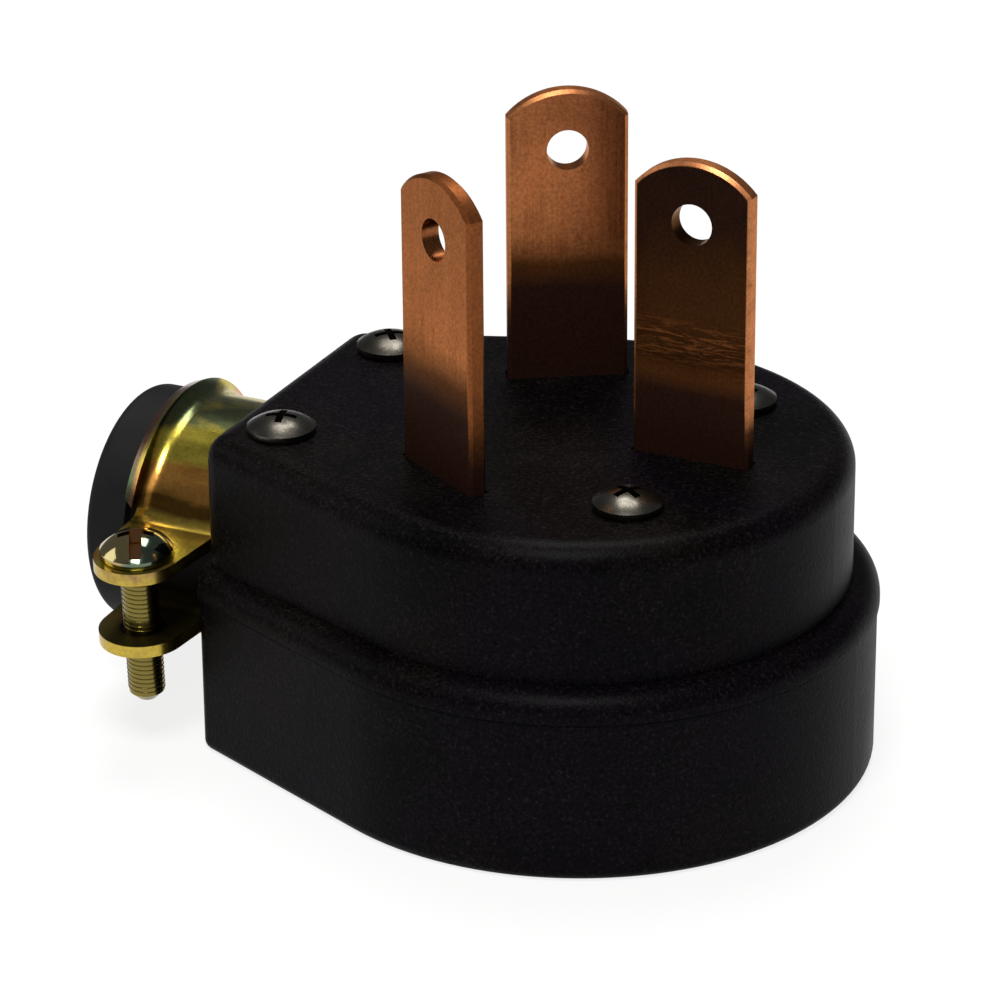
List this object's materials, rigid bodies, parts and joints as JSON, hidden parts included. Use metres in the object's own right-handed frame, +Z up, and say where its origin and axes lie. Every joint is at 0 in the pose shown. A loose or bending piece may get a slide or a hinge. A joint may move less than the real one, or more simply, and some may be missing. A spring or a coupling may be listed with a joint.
{
  "type": "industrial plug",
  "caption": "Right-angle industrial plug: a pear-shaped black two-piece housing with flat copper blades, and a flared steel cord clamp on a rubber bushing.",
  "frame": {"origin": "on the resting face of the cover, under the centre of the housing's round end", "axes": "+Z up along the blades, +X away from the cord, +Y to complete the frame; the plug is symmetric about the XZ plane outside, apart from the small turn of its clamp"},
  "size_m": [0.0795, 0.0596, 0.0638],
  "materials": {
    "moulded_black": "fine spark-eroded texture",
    "blade_copper": "bare brushed copper",
    "clamp_steel": "yellow passivated zinc",
    "bushing_rubber": "matte",
    "screw_steel": "dark nickel",
    "insert_brass": "machined",
    "terminal_steel": "zinc plated"
  },
  "bodies": {
    "root": {"blade_housing": "moulded_black", "blade_line_1": "blade_copper", "blade_line_2": "blade_copper", "blade_neutral": "blade_copper", "clamp_lower": "clamp_steel", "clamp_screw_1": "clamp_steel", "clamp_screw_2": "clamp_steel", "clamp_upper": "clamp_steel", "cord_bushing": "bushing_rubber", "cover_insert_1": "insert_brass", "cover_insert_2": "insert_brass", "cover_insert_3": "insert_brass", "cover_insert_4": "insert_brass", "housing_screw_1": "screw_steel", "housing_screw_2": "screw_steel", "housing_screw_3": "screw_steel", "housing_screw_4": "screw_steel", "pressure_plate_line_1": "terminal_steel", "pressure_plate_line_2": "terminal_steel", "pressure_plate_neutral": "terminal_steel", "rear_cover": "moulded_black", "terminal_screw_line_1": "terminal_steel", "terminal_screw_line_2": "terminal_steel", "terminal_screw_neutral": "terminal_steel"}
  },
  "joints": []
}
